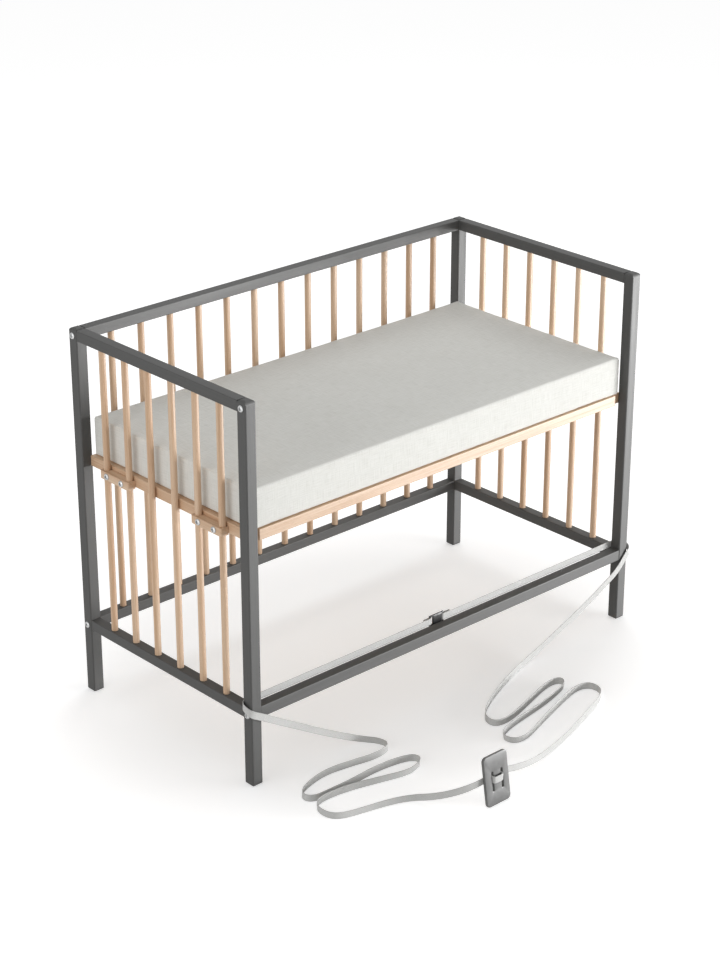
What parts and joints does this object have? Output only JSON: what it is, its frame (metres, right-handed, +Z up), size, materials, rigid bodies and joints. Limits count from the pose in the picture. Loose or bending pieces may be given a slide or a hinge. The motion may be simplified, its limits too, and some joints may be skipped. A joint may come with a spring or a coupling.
{
  "type": "bedside sleeper crib",
  "caption": "Bedside sleeper crib with one open side, dark posts and rails, beech spindles, a height-adjustable slatted base with mattress, and a strap with buckle and plate.",
  "frame": {"origin": "on the floor in the middle of the four posts", "axes": "+X along the crib, -Y out of the open side that stands against the adult bed, +Z up"},
  "size_m": [0.9542, 0.79, 0.706],
  "materials": {
    "dark_lacquer": "satin anthracite lacquer with faint grain",
    "beech": "clear matte lacquer",
    "slat_wood": "sanded, unlacquered",
    "zinc_steel": "bright zinc",
    "mattress_fabric": "fine off-white weave",
    "webbing": "light grey flat webbing",
    "black_plastic": "moulded, fine matte",
    "grey_plastic": "moulded, fine matte"
  },
  "bodies": {
    "root": {"back_lower_rail": "dark_lacquer", "back_spindle_01": "beech", "back_spindle_02": "beech", "back_spindle_03": "beech", "back_spindle_04": "beech", "back_spindle_05": "beech", "back_spindle_06": "beech", "back_spindle_07": "beech", "back_spindle_08": "beech", "back_spindle_09": "beech", "back_spindle_10": "beech", "back_spindle_11": "beech", "back_spindle_12": "beech", "back_spindle_13": "beech", "back_top_rail": "dark_lacquer", "end_lower_rail_left": "dark_lacquer", "end_lower_rail_right": "dark_lacquer", "end_top_rail_left": "dark_lacquer", "end_top_rail_right": "dark_lacquer", "frame_screws": "zinc_steel", "front_lower_rail": "dark_lacquer", "left_spindle_1": "beech", "left_spindle_2": "beech", "left_spindle_3": "beech", "left_spindle_4": "beech", "left_spindle_5": "beech", "left_spindle_6": "beech", "post_back_left": "dark_lacquer", "post_back_right": "dark_lacquer", "post_front_left": "dark_lacquer", "post_front_right": "dark_lacquer", "right_spindle_1": "beech", "right_spindle_2": "beech", "right_spindle_3": "beech", "right_spindle_4": "beech", "right_spindle_5": "beech", "right_spindle_6": "beech", "strap_buckle": "black_plastic", "strap_free_left": "webbing", "strap_free_right": "webbing", "strap_plate": "grey_plastic", "strap_tight_left": "webbing", "strap_tight_right": "webbing"},
    "base": {"base_back_rail": "beech", "base_end_rail_left": "beech", "base_end_rail_right": "beech", "base_front_rail": "beech", "bed_slats": "slat_wood", "clamp_block_back_left": "beech", "clamp_block_back_right": "beech", "clamp_block_front_left": "beech", "clamp_block_front_right": "beech", "clamp_bolts": "zinc_steel", "clamp_nuts": "zinc_steel"},
    "mattress_body": {"mattress": "mattress_fabric"}
  },
  "joints": [
    {"name": "base_height", "type": "slide", "parent": "root", "child": "base", "axis": [0, 0, 1], "range_m": [-0.27, 0.13]},
    {"name": "mattress_lift", "type": "slide", "parent": "base", "child": "mattress_body", "axis": [0, 0, 1], "range_m": [0, 0.25]}
  ]
}
